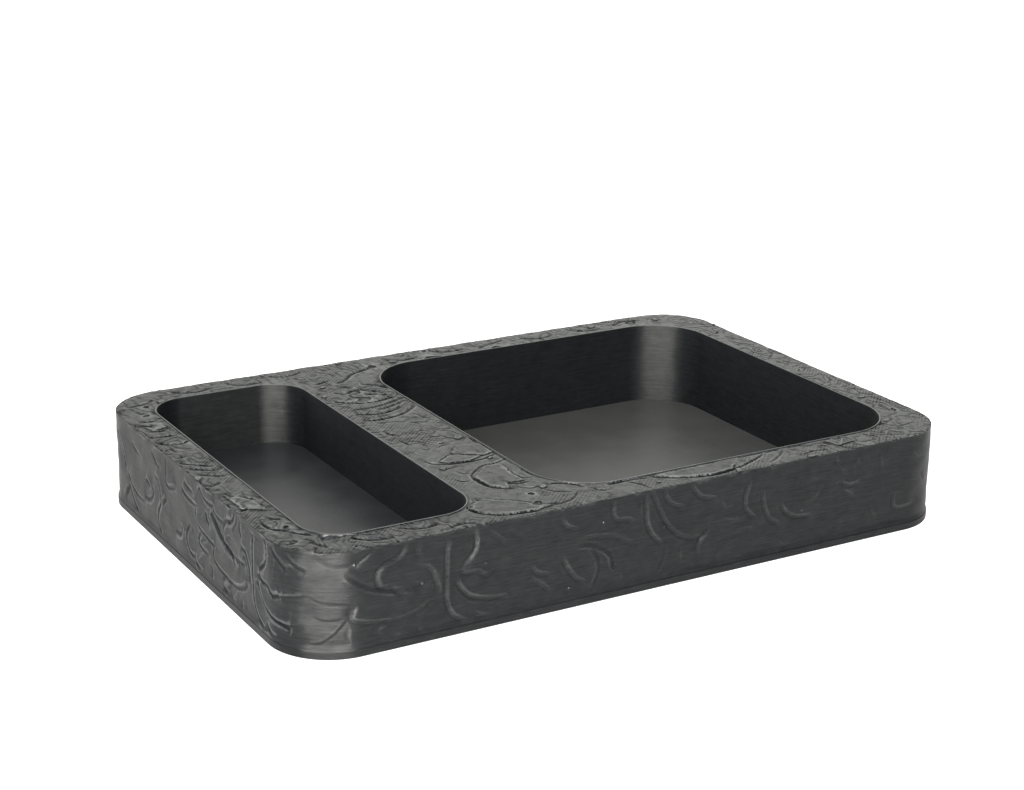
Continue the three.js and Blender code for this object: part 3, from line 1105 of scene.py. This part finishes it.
def paleFloor():
    material = bpy.data.materials.new("paperFloor")
    build = emptyNodes(material)
    seen = build.add("ShaderNodeLightPath").outputs["Is Camera Ray"]
    diffuse = build.add("ShaderNodeBsdfDiffuse", {"Color": (*[paper["albedo"]] * 3, 1)})
    strength = build.times(seen, paper["glow"])
    glow = build.add("ShaderNodeEmission", {"Color": (1, 1, 1, 1), "Strength": strength})
    both = build.add("ShaderNodeAddShader", {0: diffuse.outputs[0], 1: glow.outputs[0]})
    build.add("ShaderNodeOutputMaterial", {"Surface": both.outputs[0]})
    mesh = bpy.data.meshes.new("paperFloor")
    half = paper["halfWidth"]
    corners = [(-half, -half, 0), (half, -half, 0), (half, half, 0), (-half, half, 0)]
    mesh.from_pydata(corners, [], [(0, 1, 2, 3)])
    mesh.materials.append(material)
    floor = bpy.data.objects.new("paperFloor", mesh)
    floor.location.z = -paper["drop"]
    scene.collection.objects.link(floor)


# The photograph's view, about the origin in the middle of the underside

view = {
    "azimuth": math.radians(30.49),
    "elevation": math.radians(18.35),
    "roll": math.radians(0.78),
    "distance": 0.5434,
    "right": -0.0025,
    "up": 0.0293,
    "lens": 70.92,
    "sensor": 36.0,
}


def viewAxes():
    az, el, roll = view["azimuth"], view["elevation"], view["roll"]
    ahead = Vector((math.sin(az) * math.cos(el), math.cos(az) * math.cos(el), -math.sin(el)))
    right = Vector((math.cos(az), -math.sin(az), 0))
    up = right.cross(ahead)
    return right * math.cos(roll) + up * math.sin(roll), up * math.cos(roll) - right * math.sin(roll), ahead


def makeCamera():
    right, up, ahead = viewAxes()
    data = bpy.data.cameras.new("camera")
    data.sensor_width, data.lens = view["sensor"], view["lens"]
    data.clip_start, data.clip_end = 0.02, 20
    camera = bpy.data.objects.new("camera", data)
    turn = Matrix((right, up, -ahead)).transposed()
    eye = -ahead * view["distance"] + right * view["right"] + up * view["up"]
    camera.matrix_world = Matrix.Translation(eye) @ turn.to_4x4()
    scene.collection.objects.link(camera)
    scene.camera = camera


# Broad patches of bright sky: the direction of each, its colour and its strength
skyPatches = [
    ((0.50, 0.85, 0.15), (0.985, 1.0, 0.94), 1.27),
    ((-0.50, 0.85, 0.15), (1.0, 1.0, 1.0), 0.28),
    ((-1.0, 0.0, 0.15), (0.98, 1.0, 1.0), 0.94),
    ((0.0, 0.0, 1.0), (0.98, 1.0, 1.0), 1.77),
]
patchFocus = 3.0
keyLamp = {
    "azimuth": 36,           # degrees to the left of the front, as the camera's 30.5
    "elevation": 28,
    "distance": 0.9,
    "width": 1.25,
    "height": 0.8,
    "power": 54.0,
    "colour": (1.0, 0.995, 0.95),
}


def addKeyLamp():
    az, el = math.radians(keyLamp["azimuth"]), math.radians(keyLamp["elevation"])
    away = Vector((-math.sin(az) * math.cos(el), -math.cos(az) * math.cos(el), math.sin(el)))
    data = bpy.data.lights.new("keyLamp", "AREA")
    data.shape, data.size, data.size_y = "RECTANGLE", keyLamp["width"], keyLamp["height"]
    data.energy, data.color = keyLamp["power"], keyLamp["colour"]
    lamp = bpy.data.objects.new("keyLamp", data)
    lamp.location = away * keyLamp["distance"]
    lamp.rotation_euler = away.to_track_quat("Z", "Y").to_euler()
    lamp.visible_camera = False
    scene.collection.objects.link(lamp)


def lightScene():
    world = bpy.data.worlds.new("studio")
    scene.world = world
    build = emptyNodes(world)
    # a white sweep behind, to the left and above, and a dim room in front; the camera sees plain white
    direction = build.add("ShaderNodeTexCoord").outputs["Generated"]
    glow = build.joined()
    for way, colour, strength in skyPatches:
        facing = build.vector("DOT_PRODUCT", {0: direction, 1: Vector(way).normalized()})["Value"]
        amount = build.times(build.maths("POWER", build.maths("MAXIMUM", facing, 0.0), patchFocus), strength)
        patch = build.vector("SCALE", {0: colour, "Scale": amount})[0]
        glow = build.vector("ADD", {0: glow, 1: patch})[0]
    seen = build.add("ShaderNodeLightPath").outputs["Is Camera Ray"]
    shown = build.mixedVectors(seen, glow, (1, 1, 1))
    sky = build.add("ShaderNodeBackground", {"Color": shown, "Strength": 1.0})
    build.add("ShaderNodeOutputWorld", {"Surface": sky.outputs[0]})
    addKeyLamp()


scene.view_settings.view_transform = "Standard"
makeCamera()
lightScene()
paleFloor()
print("camera, lamps and floor are set")

plasticMaterial = printedPlastic()
trayPiece = buildTray(plasticMaterial)
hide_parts("tray_body")
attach(trayPiece, "root")
print("the tray is dressed")
